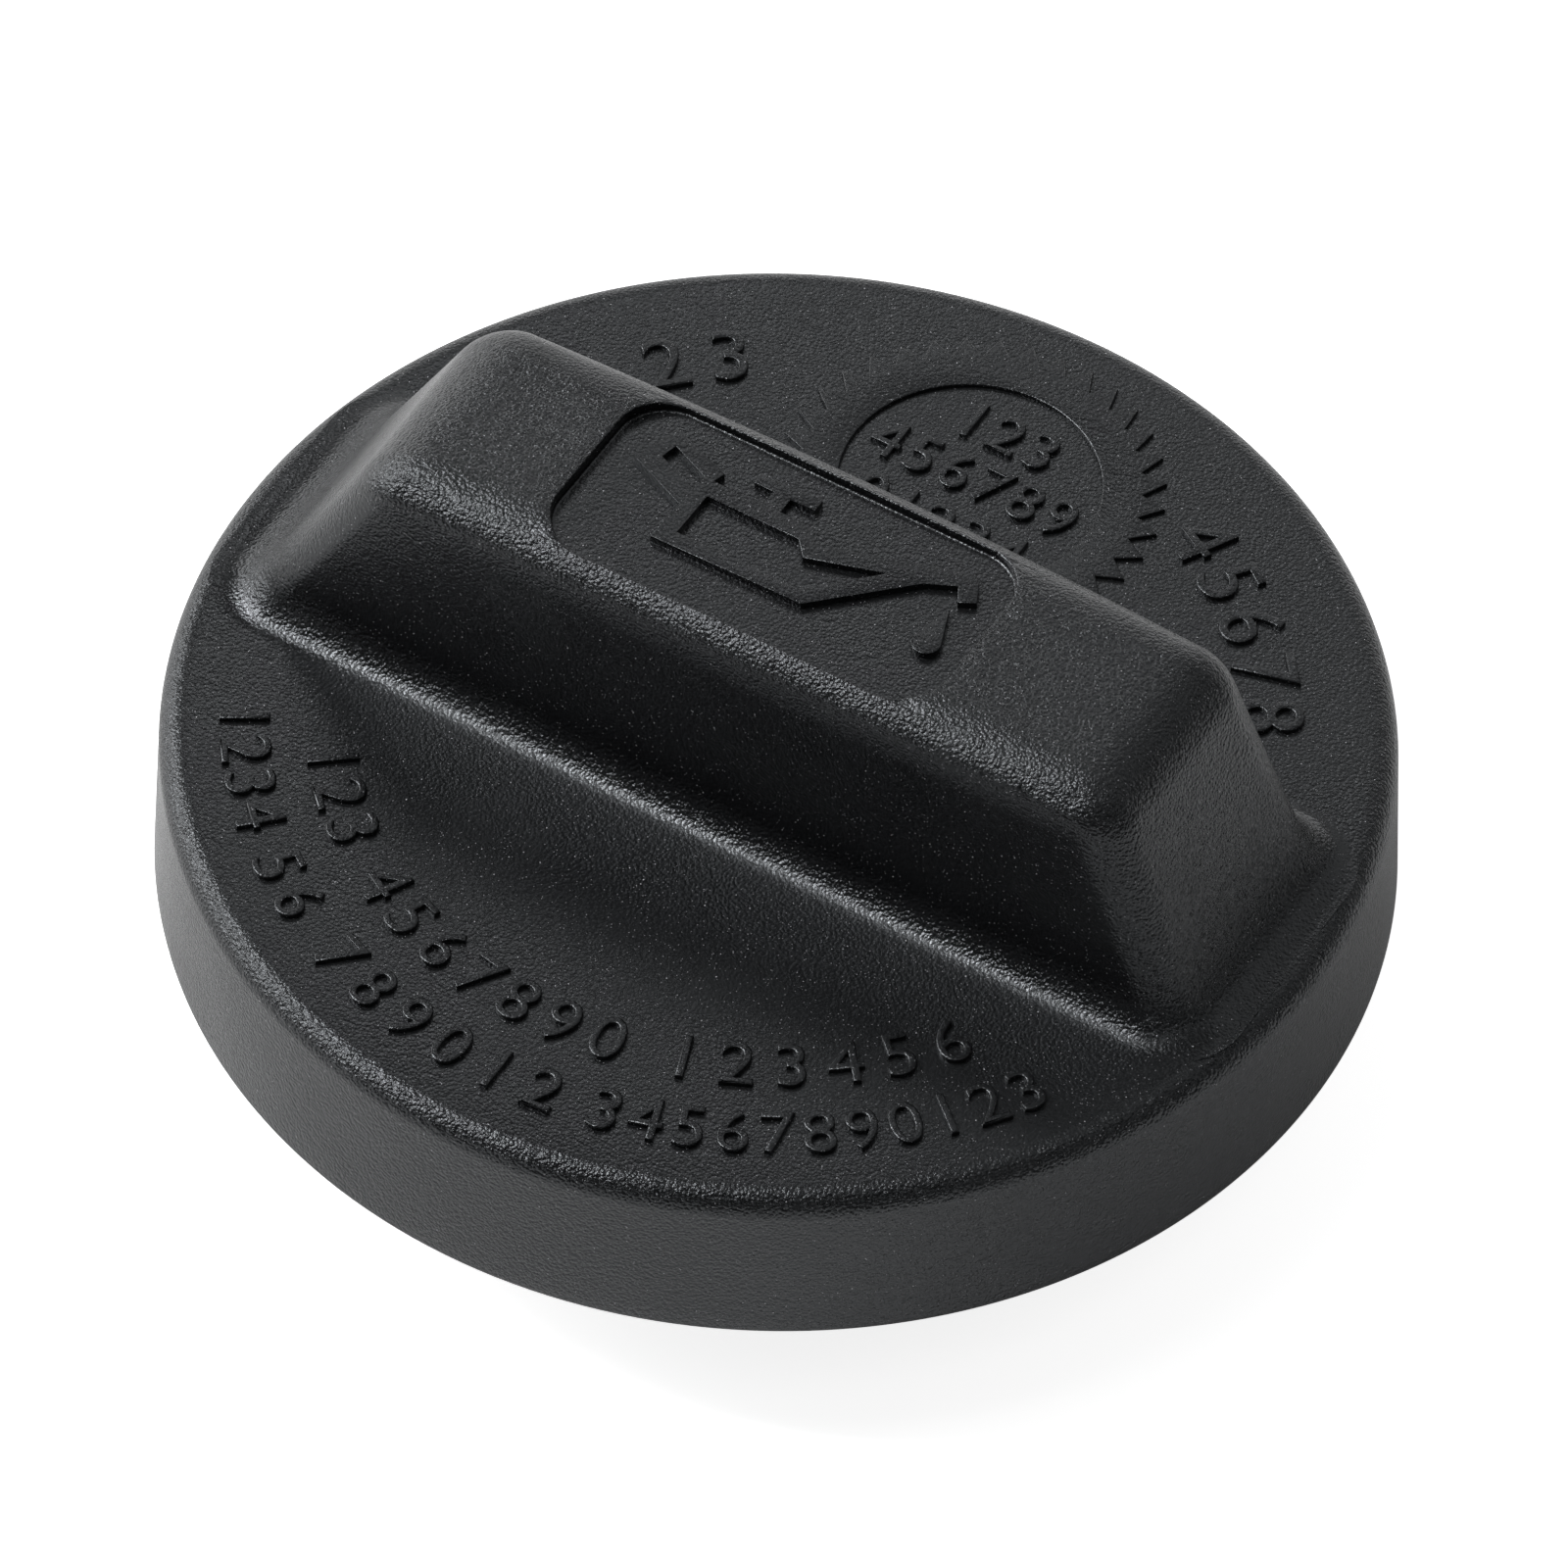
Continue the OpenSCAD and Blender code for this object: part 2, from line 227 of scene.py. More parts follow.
def wall_at(h, foot, lean, top, blend, round_r, stretch=1.0):
    """Half of the grip's size at height h.

    A wall that leans in by lean for each unit of height from foot, with an arc of radius blend that runs it
    out into the disc and an arc of radius round_r that rounds it over at height top. Both arcs are tangent to
    the wall. The upper arc is drawn out inwards by stretch, which makes it the quarter of an ellipse.
    """
    slope = math.hypot(1, lean)
    blend_x = foot - blend * lean + blend * slope
    round_x = foot - (top - round_r) * lean - round_r * slope
    low = blend_x - np.sqrt(np.maximum(0, blend**2 - (blend - h) ** 2))
    high = round_x + np.sqrt(np.maximum(0, round_r**2 - (h - top + round_r) ** 2))
    line = foot - h * lean
    arc_foot = top - round_r * (1 - lean / slope)
    line_end = foot - arc_foot * lean
    high = line_end - stretch * (line_end - high)
    return np.where(h < blend * (1 - lean / slope), low, np.where(h > arc_foot, high, line))


def bent(flat, h):
    """Rings at height h over the disc, with the crown, the bow and the shift along X.

    rise is h over GRIP_H, and off is the square of x over half the top's length, times rise. The crown lowers
    a point by GRIP_CROWN times off, the bow narrows it by GRIP_BOW times off, and the shift moves it by
    TOP_SHIFT times rise.
    """
    h = np.broadcast_to(np.atleast_1d(h)[:, None], flat.shape[:2])
    rise = np.maximum(0, h) / GRIP_H
    off = (flat[..., 0] / (GRIP_TOP_L / 2)) ** 2 * rise
    narrow = 1 - GRIP_BOW / (GRIP_TOP_W / 2) * off
    x = flat[..., 0] + TOP_SHIFT * rise
    return np.stack([x, flat[..., 1] * narrow, DISC_Z + h - GRIP_CROWN * off], -1)


# Share of its radius at which an arc's fall is held, before the arc stands upright
ARC_LIMIT = 0.98


def arc_drop(reach, half, lean, round_r, stretch=1.0):
    """How far wall_at's upper arc has fallen at a distance reach from the middle.

    half is the distance at which the wall's line would meet the top. The fall is round_r less the height of a
    circle's arc over the arc's start, after the distance past that start is drawn in by stretch.
    """
    slope = math.hypot(1, lean)
    start = half - round_r * (slope - lean)
    line_end = half + round_r * (1 - lean / slope) * lean
    across = line_end - (line_end - reach) / stretch - start
    return round_r - np.sqrt(round_r**2 - np.clip(across, 0, ARC_LIMIT * round_r) ** 2)


def top_z(x, y):
    """Height of the grip's top: the crown, less what the rounded long edges and ends have fallen."""
    x = x - TOP_SHIFT
    off = (x / (GRIP_TOP_L / 2)) ** 2
    across = np.abs(y) / (1 - GRIP_BOW / (GRIP_TOP_W / 2) * off)
    side = arc_drop(across, GRIP_TOP_W / 2, SIDE_LEAN, EDGE_DROP, EDGE_STRETCH)
    end = arc_drop(np.abs(x), GRIP_TOP_L / 2, END_LEAN, GRIP_END_R)
    return DISC_Z + GRIP_H - GRIP_CROWN * off - side - end


def blend_between(ring_a, ring_b, shares):
    """Rings on straight lines from each point of ring_a to the same point of ring_b, at the given shares."""
    shares = np.asarray(shares, float)[:, None, None]
    return ring_a[None] * (1 - shares) + ring_b[None] * shares


def circle_rings(like, radius, z):
    """Circles of the given radii at heights z, each point in the direction of the same point of ring like."""
    angle = np.arctan2(like[:, 1], like[:, 0])
    radius, z = np.broadcast_arrays(np.atleast_1d(radius), np.atleast_1d(z))
    flat = radius[:, None, None] * np.stack([np.cos(angle), np.sin(angle)], -1)[None]
    return np.concatenate([flat, np.broadcast_to(z[:, None, None], flat.shape[:2] + (1,))], -1)


def grip_rings(h):
    """Outer rings of the grip at heights h."""
    h = np.asarray(h, float)
    a = wall_at(h, GRIP_FOOT_L / 2, END_LEAN, GRIP_H, END_BLEND, GRIP_END_R)
    b = wall_at(h, GRIP_FOOT_W / 2, SIDE_LEAN, GRIP_H, SIDE_BLEND, EDGE_DROP, EDGE_STRETCH)
    drawn_in = b - (GRIP_FOOT_W / 2 - h * SIDE_LEAN)
    return bent(rounded(a, b, GRIP_CORNER_R + drawn_in), h)


# A blend too small to show, for a wall that starts straight
NO_BLEND = 1e-9


def hollow_rings(h):
    """Rings of the grip's hollow at heights h, a wall's thickness inside the outer rings."""
    h = np.asarray(h, float)
    top = GRIP_H - GRIP_TOP_WALL
    half_l = GRIP_FOOT_L / 2 - GRIP_WALL * math.hypot(1, END_LEAN)
    half_w = GRIP_FOOT_W / 2 - GRIP_WALL * math.hypot(1, SIDE_LEAN)
    a = wall_at(h, half_l, END_LEAN, top, NO_BLEND, HOLLOW_EDGE_R)
    b = wall_at(h, half_w, SIDE_LEAN, top, NO_BLEND, HOLLOW_EDGE_R)
    return bent(rounded(a, b, HOLLOW_CORNER_R), h)


def arc_heights(top, r, n):
    """Heights at even turns of an arc of radius r that ends level at height top."""
    return top - r + r * np.sin(turn_steps(n))


def under_rings(foot):
    """From the top of the hollow down its wall, out under the disc and round to the skirt's inside."""
    rounding = arc_heights(GRIP_H - GRIP_TOP_WALL, HOLLOW_EDGE_R, 6)[::-1]
    hollow = hollow_rings(np.concatenate([rounding, [4.0, 0.0, -DISC_WALL]]))
    turn = turn_steps(6)
    fillet = circle_rings(
        foot, INNER_R - INNER_FILLET * (1 - np.sin(turn)), UNDER_Z - INNER_FILLET * (1 - np.cos(turn))
    )
    return np.concatenate([hollow, blend_between(hollow[-1], fillet[0], [0.3, 0.7]), fillet])


def skirt_rings(foot):
    """Round the skirt's rim, up its outer wall, and over its shoulder on to the disc."""
    inner_r = RIM_R - SKIRT_WALL
    r = RIM_FOOT_ROUND
    turn = turn_steps(5)
    rise, fall = r * (1 - np.cos(turn)), r * (1 - np.sin(turn))
    rim = circle_rings(
        foot, np.concatenate([inner_r + rise, RIM_R - fall]), np.concatenate([RIM_Z + fall, RIM_Z + rise])
    )
    share = np.linspace(0.1, 0.9, 6)
    wall_z = RIM_Z + r + (SKIRT_H - RIM_ROUND - r) * share
    wall = circle_rings(foot, RIM_R - SKIRT_DRAFT * share, wall_z)
    over = turn_steps(14)
    shoulder = circle_rings(
        foot, TOP_R - RIM_ROUND * (1 - np.cos(over)), DISC_Z - RIM_ROUND * (1 - np.sin(over))
    )
    return np.concatenate([rim, wall, shoulder])


def grip_heights():
    """Heights of the grip's rings, close together where the foot blends and the top edges turn."""
    side_foot = SIDE_BLEND * (1 - np.cos(turn_steps(10)))
    end_foot = END_BLEND * (1 - np.cos(turn_steps(12)))
    steps = [
        side_foot,
        end_foot[end_foot > SIDE_BLEND],
        np.linspace(END_BLEND, GRIP_H - GRIP_END_R, 8),
        arc_heights(GRIP_H, GRIP_END_R, 14),
        arc_heights(GRIP_H, EDGE_DROP, 16),
    ]
    return np.unique(np.round(np.concatenate(steps), 4))


def top_rings(edge, lip):
    """Over the grip's top, from its last ring to the pocket's lip.

    Heights follow top_z, plus what the last ring misses of it times the square of the share that is left.
    """
    share = np.linspace(0, 1, 15)[1:]
    rings = blend_between(edge, lip, share)
    miss = edge[:, 2] - top_z(edge[:, 0], edge[:, 1])
    rings[..., 2] = top_z(rings[..., 0], rings[..., 1]) + miss * (1 - share[:, None]) ** 2
    return rings


def pocket_ring(out, z):
    """Outlines of the pocket, wider by out all round, at heights z."""
    flat = rounded(POCKET_L / 2 + out, POCKET_W / 2 + out, POCKET_R + out)
    z = np.broadcast_to(z, flat.shape[:2])
    return np.concatenate([flat, z[..., None]], -1)


def pocket_rings(lip):
    """Round the pocket's lip, down its wall, and round the fillet on to its floor."""
    turn = turn_steps(4)
    edge_drop = POCKET_EDGE_R * (1 - np.cos(turn[1:]))
    edge = pocket_ring(POCKET_EDGE_R * (1 - np.sin(turn[1:])), lip[None, :, 2] - edge_drop[:, None])
    fillet_z = POCKET_Z + POCKET_FILLET * (1 - np.sin(turn))
    fillet = pocket_ring(-POCKET_FILLET * (1 - np.cos(turn)), fillet_z[:, None])
    return np.concatenate([edge, fillet, pocket_ring(-np.array(POCKET_FLOOR_RINGS), POCKET_Z)])


def cover_rings():
    """All rings of the cover's shell, from the top of the hollow round the rim and into the pocket."""
    foot = grip_rings([0.0])[0]
    skirt = skirt_rings(foot)
    disc = blend_between(skirt[-1], foot, np.linspace(0, 1, 14)[1:-1])
    heights = grip_heights()
    # The grip's rings stop while they are still wider than the pocket
    margin = POCKET_W / 2 + 3 * POCKET_EDGE_R
    margin_drop = float(arc_drop(margin, GRIP_TOP_W / 2, SIDE_LEAN, EDGE_DROP, EDGE_STRETCH))
    grip = grip_rings(heights[heights < GRIP_H - margin_drop])
    lip = pocket_ring(POCKET_EDGE_R, 0)[0]
    lip[:, 2] = top_z(lip[:, 0], lip[:, 1])
    return np.concatenate([under_rings(foot), skirt, disc, grip, top_rings(grip[-1], lip), pocket_rings(lip)])


def grid_faces(rings, points):
    """Quads of a grid of rings, each row of points closed round, facing outwards."""
    j, i = np.meshgrid(np.arange(rings - 1), np.arange(points), indexing="ij")
    a, b = j * points + i, j * points + (i + 1) % points
    return np.stack([a, b, b + points, a + points], -1).reshape(-1, 4).tolist()


def surface(rings):
    """Vertices and faces of a tube through the rings, with one flat face over each end."""
    m, n = rings.shape[:2]
    caps = [list(range(n))[::-1], list(range((m - 1) * n, m * n))]
    return rings.reshape(-1, 3), grid_faces(m, n) + caps


def merged(parts):
    """Several (vertices, faces) pairs as one pair."""
    vertices, faces, count = [], [], 0
    for v, f in parts:
        vertices.append(v)
        faces += [[i + count for i in face] for face in f]
        count += len(v)
    return np.concatenate(vertices), faces


def turned(part, degrees):
    """A (vertices, faces) pair turned about Z."""
    c, s = math.cos(math.radians(degrees)), math.sin(math.radians(degrees))
    return part[0] @ np.array([[c, s, 0], [-s, c, 0], [0, 0, 1]]), part[1]


def box_part(low, high):
    """A plain block from corner low to corner high, as rings of four points."""
    (x0, y0, z0), (x1, y1, z1) = low, high
    ring = np.array([[x1, y0], [x1, y1], [x0, y1], [x0, y0]], float)
    rings = np.stack([np.column_stack([ring, np.full(4, z)]) for z in (z0, z1)])
    return surface(rings)


def revolved(profile, n=FACETS_ROUND):
    """A closed profile of (radius, height) points turned about Z, its points clockwise as seen with Z up.

    Points on the axis come out as one point each once doubles are merged.
    """
    angle = np.arange(n) * 2 * math.pi / n
    profile = np.asarray(profile, float)
    rings = np.stack(
        [profile[:, :1] * np.cos(angle), profile[:, :1] * np.sin(angle), np.repeat(profile[:, 1:], n, 1)], -1
    )
    return rings.reshape(-1, 3), grid_faces(len(profile), n)


def softened(corners, radii, n=4):
    """An open profile through the corners, with each inner corner cut by a curve of about its radius.

    The curve is a quadratic one between two points that lie one radius from the corner along its two sides,
    or 0.45 of a side where that is less.
    """
    corners = np.asarray(corners, float)
    points = [corners[0]]
    t = np.linspace(0, 1, n + 1)[:, None]
    for before, here, after, r in zip(corners, corners[1:], corners[2:], radii):
        a = here + (before - here) * min(0.45, r / np.linalg.norm(before - here))
        b = here + (after - here) * min(0.45, r / np.linalg.norm(after - here))
        points.extend((1 - t) ** 2 * a + 2 * t * (1 - t) * here + t**2 * b)
    points.append(corners[-1])
    return np.array(points)


def add_piece(name, part, material):
    """Puts a (vertices, faces) pair in millimetres into a mesh object in metres, and rides it on the cap."""
    mesh = bpy.data.meshes.new(name)
    mesh.from_pydata((part[0] * MM).tolist(), [], part[1])
    mesh.validate()
    bm = bmesh.new()
    bm.from_mesh(mesh)
    bmesh.ops.remove_doubles(bm, verts=bm.verts, dist=WELD_DISTANCE)
    bm.to_mesh(mesh)
    bm.free()
    mesh.polygons.foreach_set("use_smooth", np.ones(len(mesh.polygons), bool))
    mesh.set_sharp_from_angle(angle=math.radians(SMOOTH_ANGLE))
    mesh.materials.append(material)
    piece = bpy.data.objects.new(name, mesh)
    bpy.context.scene.collection.objects.link(piece)
    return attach(piece, "root")


def flat_shape(loops, height, z, edge):
    """A raised shape from closed outlines, holes included, with its edge rounded by edge.

    Its faces lie height / 2 and the rounding above and below z.
    """
    curve = bpy.data.curves.new("outline", "CURVE")
    curve.dimensions = "2D"
    curve.fill_mode = "BOTH"
    curve.extrude = height / 2
    curve.bevel_depth = edge
    curve.bevel_resolution = 2
    curve.offset = -edge
    for loop in loops:
        spline = curve.splines.new("POLY")
        spline.points.add(len(loop) - 1)
        flat = np.column_stack([loop, np.zeros(len(loop)), np.ones(len(loop))])
        spline.points.foreach_set("co", flat.ravel())
        spline.use_cyclic_u = True
    return curve_part(curve, z)


def curve_part(curve, z):
    """The (vertices, faces) of a flat curve or text, centred on height z."""
    holder = bpy.data.objects.new("outline", curve)
    bpy.context.scene.collection.objects.link(holder)
    depsgraph = bpy.context.evaluated_depsgraph_get()
    mesh = bpy.data.meshes.new_from_object(holder.evaluated_get(depsgraph))
    vertices = np.empty(len(mesh.vertices) * 3)
    mesh.vertices.foreach_get("co", vertices)
    faces = [list(p.vertices) for p in mesh.polygons]
    bpy.data.objects.remove(holder)
    bpy.data.meshes.remove(mesh)
    return vertices.reshape(-1, 3) + [0, 0, z], faces


def arc_path(radius, start, end, centre, step):
    """Points along an arc about centre, from start to end, turned by about step from one to the next."""
    n = max(2, int(abs(end - start) / step))
    t = turn_steps(n, start, end)
    return np.stack([centre[0] + radius * np.cos(t), centre[1] + radius * np.sin(t)], -1)


def raised_number(text, size, middle, up):
    """A plain number that stands out of the disc, its middle at middle and its upright along the angle up."""
    curve = bpy.data.curves.new("number", "FONT")
    curve.body = text
    curve.size = size / FIGURE_SHARE
    curve.align_x = "CENTER"
    curve.extrude = MARK_H / 2
    curve.bevel_depth = MARK_EDGE
    curve.bevel_resolution = 2
    curve.offset = -MARK_EDGE * FIGURE_THINNING
    curve.resolution_u = 6
    vertices, faces = curve_part(curve, DISC_Z + MARK_H / 2 - MARK_EDGE)
    vertices[:, 1] -= size / 2
    t = math.radians(up - 90)
    c, s = math.cos(t), math.sin(t)
    x = vertices[:, 0] * c - vertices[:, 1] * s + middle[0]
    y = vertices[:, 0] * s + vertices[:, 1] * c + middle[1]
    return np.column_stack([x, y, vertices[:, 2]]), faces


def on_circle(radius, degrees):
    """The point at that radius and angle about the axis."""
    t = math.radians(degrees)
    return radius * math.cos(t), radius * math.sin(t)


def node(tree, kind, inputs=(), **settings):
    """A new node with its settings, and its inputs set to values or linked from sockets."""
    made = tree.nodes.new(kind)
    for key, value in settings.items():
        setattr(made, key, value)
    for key, value in dict(inputs).items():
        if isinstance(value, bpy.types.NodeSocket):
            tree.links.new(value, made.inputs[key])
        else:
            made.inputs[key].default_value = value
    return made


def math_node(tree, operation, *values):
    """The output of a Math node on values or sockets."""
    return node(tree, "ShaderNodeMath", enumerate(values), operation=operation).outputs[0]


def new_group(name, inputs, outputs):
    """An empty shader node group with named float inputs and outputs, and its two ends."""
    tree = bpy.data.node_groups.new(name, "ShaderNodeTree")
    for label, default in inputs:
        kind = "NodeSocketVector" if default is None else "NodeSocketFloat"
        socket = tree.interface.new_socket(label, in_out="INPUT", socket_type=kind)
        if default is not None:
            socket.default_value = default
    for label in outputs:
        tree.interface.new_socket(label, in_out="OUTPUT", socket_type="NodeSocketFloat")
    return tree, tree.nodes.new("NodeGroupInput"), tree.nodes.new("NodeGroupOutput")


# Grain of the moulds: cells and waves a metre, how far the slow noise pushes the cells in millimetres, the
# finer noise's share of the height, and the grain's depth on the smoother faces as a share of its full depth
GRAIN_CELLS = 5200.0
WARP_WAVES = 2600.0
WARP_REACH = 0.16
FINE_WAVES = 10000.0
FINE_SHARE = 0.4
SMOOTHER = 0.38

# Pale specks in the black plastic: cells a metre, size in cells, share of cells with a speck, and paleness
SPECK_LAYERS = [(4200.0, 0.115, 0.9, 0.18), (2000.0, 0.06, 0.6, 0.4)]
SPECK_BLUE = 1.05

# Slow drift of tone and roughness: waves a metre, how far each way, and the range of the noise that is used
DRIFT_WAVES = 140.0
TONE_DRIFT = 0.15
ROUGH_DRIFT = 0.05
DRIFT_RANGE = (0.3, 0.7)

# Colours, and the tint of the black plastics' gloss
BLACK = (0.0042, 0.0044, 0.0047)
PLUG_BLACK = (0.034, 0.036, 0.039)
RUBBER = (0.018, 0.018, 0.019)
TINT = (0.945, 0.99, 1.035, 1)

# Borders between smoother and grained faces: how far past an edge each smooth step starts and ends
DISC_STEP = (0.05, 0.9)
RIM_STEP = (-1.6, -0.7)
POCKET_STEP = (0.05, -0.05)
POCKET_LIP_STEP = (-0.25, -0.35)
POCKET_DEPTH_STEP = (-2.0, -1.6)
SIDE_STEP = (-1.6, -0.3)
SIDE_END_STEP = (-0.5, -GRIP_CORNER_R)
SIDE_FOOT_STEP = (1.2, 2.6)
SIDE_TOP_STEP = (-1.9, -3.3)


def grain_group():
    """Leathery mould grain, as a height from 0 to 1.

    It is 1 less the distance to the nearest cell's point, and finer noise, mixed by FINE_SHARE. The cells are
    pushed out of line by slower noise.
    """
    tree, ends_in, ends_out = new_group("mould_grain", [("Point", None), ("Cells", GRAIN_CELLS)], ["Height"])
    point, cells = ends_in.outputs["Point"], ends_in.outputs["Cells"]
    warp = node(tree, "ShaderNodeTexNoise", {"Vector": point, "Scale": WARP_WAVES, "Detail": 1.0})
    push = {0: warp.outputs["Color"], 3: WARP_REACH * MM}
    shift = node(tree, "ShaderNodeVectorMath", push, operation="SCALE").outputs[0]
    moved = node(tree, "ShaderNodeVectorMath", {0: point, 1: shift}, operation="ADD").outputs[0]
    cell = node(tree, "ShaderNodeTexVoronoi", {"Vector": moved, "Scale": cells})
    waves = {"Vector": point, "Scale": FINE_WAVES, "Detail": 2.0, "Roughness": 0.65}
    fine = node(tree, "ShaderNodeTexNoise", waves)
    dome = math_node(tree, "SUBTRACT", 1.0, cell.outputs["Distance"])
    rest = math_node(tree, "MULTIPLY", dome, 1 - FINE_SHARE)
    height = math_node(tree, "MULTIPLY_ADD", fine.outputs["Fac"], FINE_SHARE, rest)
    tree.links.new(height, ends_out.inputs["Height"])
    return tree


def speck_group():
    """Sparse specks: 1 within Size of a cell's point, where the cell's own chance is under Share."""
    inputs = [("Point", None), ("Cells", 2000.0), ("Size", 0.1), ("Share", 0.5)]
    tree, ends_in, ends_out = new_group("specks", inputs, ["Mask"])
    place = {"Vector": ends_in.outputs["Point"], "Scale": ends_in.outputs["Cells"]}
    cell = node(tree, "ShaderNodeTexVoronoi", place)
    near = math_node(tree, "LESS_THAN", cell.outputs["Distance"], ends_in.outputs["Size"])
    pick = node(tree, "ShaderNodeSeparateColor", {0: cell.outputs["Color"]})
    chosen = math_node(tree, "LESS_THAN", pick.outputs[0], ends_in.outputs["Share"])
    tree.links.new(math_node(tree, "MULTIPLY", near, chosen), ends_out.inputs["Mask"])
    return tree


def zone_group():
    """Where the cover's grain is deepest, from 0 to 1, worked out from the place on the cover.

    It is 1 on the skirt, the rim and the grip's ends and top, and 0 on the disc, the pocket's floor and the
    grip's long sides. Each border is a smooth step between two distances or two heights.
    """
    tree, ends_in, ends_out = new_group("grained_zone", [("Point", None)], ["Mask"])
    xyz = node(tree, "ShaderNodeSeparateXYZ", {0: ends_in.outputs["Point"]})
    x, y, z = (xyz.outputs[k] for k in range(3))
    off_x, off_y = (math_node(tree, "ABSOLUTE", v) for v in (x, y))
    squares = [math_node(tree, "POWER", v, 2.0) for v in (x, y)]
    radius = math_node(tree, "SQRT", math_node(tree, "ADD", *squares))
    end_line = math_node(tree, "MULTIPLY_ADD", z, END_LEAN, off_x)

    def step(value, edge, border):
        """A smooth step from 0 to 1, between the two distances past edge that border gives."""
        start, end = edge + border[0], edge + border[1]
        limits = {"Value": value, "From Min": start * MM, "From Max": end * MM}
        return node(tree, "ShaderNodeMapRange", limits, interpolation_type="SMOOTHSTEP").outputs[0]

    def all_of(first, *others):
        """The product of several masks."""
        for mask in others:
            first = math_node(tree, "MULTIPLY", first, mask)
        return first

    top = DISC_Z + GRIP_H
    # A point on a ramp has this end_line
    end_x = GRIP_FOOT_L / 2 + END_LEAN * DISC_Z
    over_disc = step(z, DISC_Z, DISC_STEP)
    by_rim = step(radius, TOP_R, RIM_STEP)
    in_pocket = all_of(
        step(off_x, POCKET_L / 2, POCKET_STEP),
        step(off_y, POCKET_W / 2, POCKET_STEP),
        step(z, top, POCKET_LIP_STEP),
        step(z, top, POCKET_DEPTH_STEP),
    )
    on_side = all_of(
        step(off_y, GRIP_TOP_W / 2, SIDE_STEP),
        step(end_line, end_x, SIDE_END_STEP),
        step(z, DISC_Z, SIDE_FOOT_STEP),
        step(z, top, SIDE_TOP_STEP),
    )
    grained = math_node(tree, "MAXIMUM", over_disc, by_rim)
    smoother = math_node(tree, "MAXIMUM", in_pocket, on_side)
    mask = math_node(tree, "MULTIPLY", grained, math_node(tree, "SUBTRACT", 1.0, smoother))
    tree.links.new(mask, ends_out.inputs["Mask"])
    return tree


def plastic(name, colour, groups, rough, grain, zoned=False, specks=True):
    """Moulded plastic or rubber with grain as bump, grain millimetres deep.

    Its tone is colour times 1 - TONE_DRIFT to 1 + TONE_DRIFT, and its roughness is rough with ROUGH_DRIFT
    either way, both along one slow noise. Pale specks lie over the colour if specks is True. Where zoned is
    True, the grain's depth falls to SMOOTHER of itself outside the grained zone.
    """
    grain_tree, speck_tree, zone_tree = groups
    material = bpy.data.materials.new(name)
    material.use_nodes = True
    tree = material.node_tree
    shader = tree.nodes["Principled BSDF"]
    shader.inputs["Specular Tint"].default_value = TINT
    point = node(tree, "ShaderNodeTexCoord").outputs["Object"]
    grained = node(tree, "ShaderNodeGroup", {"Point": point}, node_tree=grain_tree)
    amount = grain
    if zoned:
        zone = node(tree, "ShaderNodeGroup", {"Point": point}, node_tree=zone_tree)
        depths = {"Value": zone.outputs[0], "To Min": grain * SMOOTHER, "To Max": grain}
        amount = node(tree, "ShaderNodeMapRange", depths).outputs[0]
    height = math_node(tree, "MULTIPLY", grained.outputs["Height"], amount)
    bump = node(tree, "ShaderNodeBump", {"Height": height, "Strength": 1.0, "Distance": MM})
    tree.links.new(bump.outputs["Normal"], shader.inputs["Normal"])
    waves = {"Vector": point, "Scale": DRIFT_WAVES, "Detail": 2.0, "Roughness": 0.6}
    drift = node(tree, "ShaderNodeTexNoise", waves).outputs[0]
    limits = {
        "Value": drift, "From Min": DRIFT_RANGE[0], "From Max": DRIFT_RANGE[1],
        "To Min": rough - ROUGH_DRIFT, "To Max": rough + ROUGH_DRIFT,
    }
    tree.links.new(node(tree, "ShaderNodeMapRange", limits).outputs[0], shader.inputs["Roughness"])
    low, high = ((*[c * k for c in colour], 1) for k in (1 - TONE_DRIFT, 1 + TONE_DRIFT))
    shade = node(tree, "ShaderNodeMix", {0: drift, 6: low, 7: high}, data_type="RGBA").outputs[2]
    layers = SPECK_LAYERS if specks else []
    for cells, size, share, pale in layers:
        values = {"Point": point, "Cells": cells, "Size": size, "Share": share}
        speck = node(tree, "ShaderNodeGroup", values, node_tree=speck_tree)
        mix = {0: speck.outputs[0], 6: shade, 7: (pale, pale, pale * SPECK_BLUE, 1)}
        shade = node(tree, "ShaderNodeMix", mix, data_type="RGBA").outputs[2]
    tree.links.new(shade, shader.inputs["Base Color"])
    return material


groups = grain_group(), speck_group(), zone_group()
cover_skin = plastic("cover_plastic", BLACK, groups, rough=0.25, grain=0.095, zoned=True)
mark_skin = plastic("cover_marks", BLACK, groups, rough=0.27, grain=0.045)
plug_skin = plastic("plug_plastic", PLUG_BLACK, groups, rough=0.42, grain=0.006, specks=False)
ring_skin = plastic("seal_rubber", RUBBER, groups, rough=0.5, grain=0.002, specks=False)


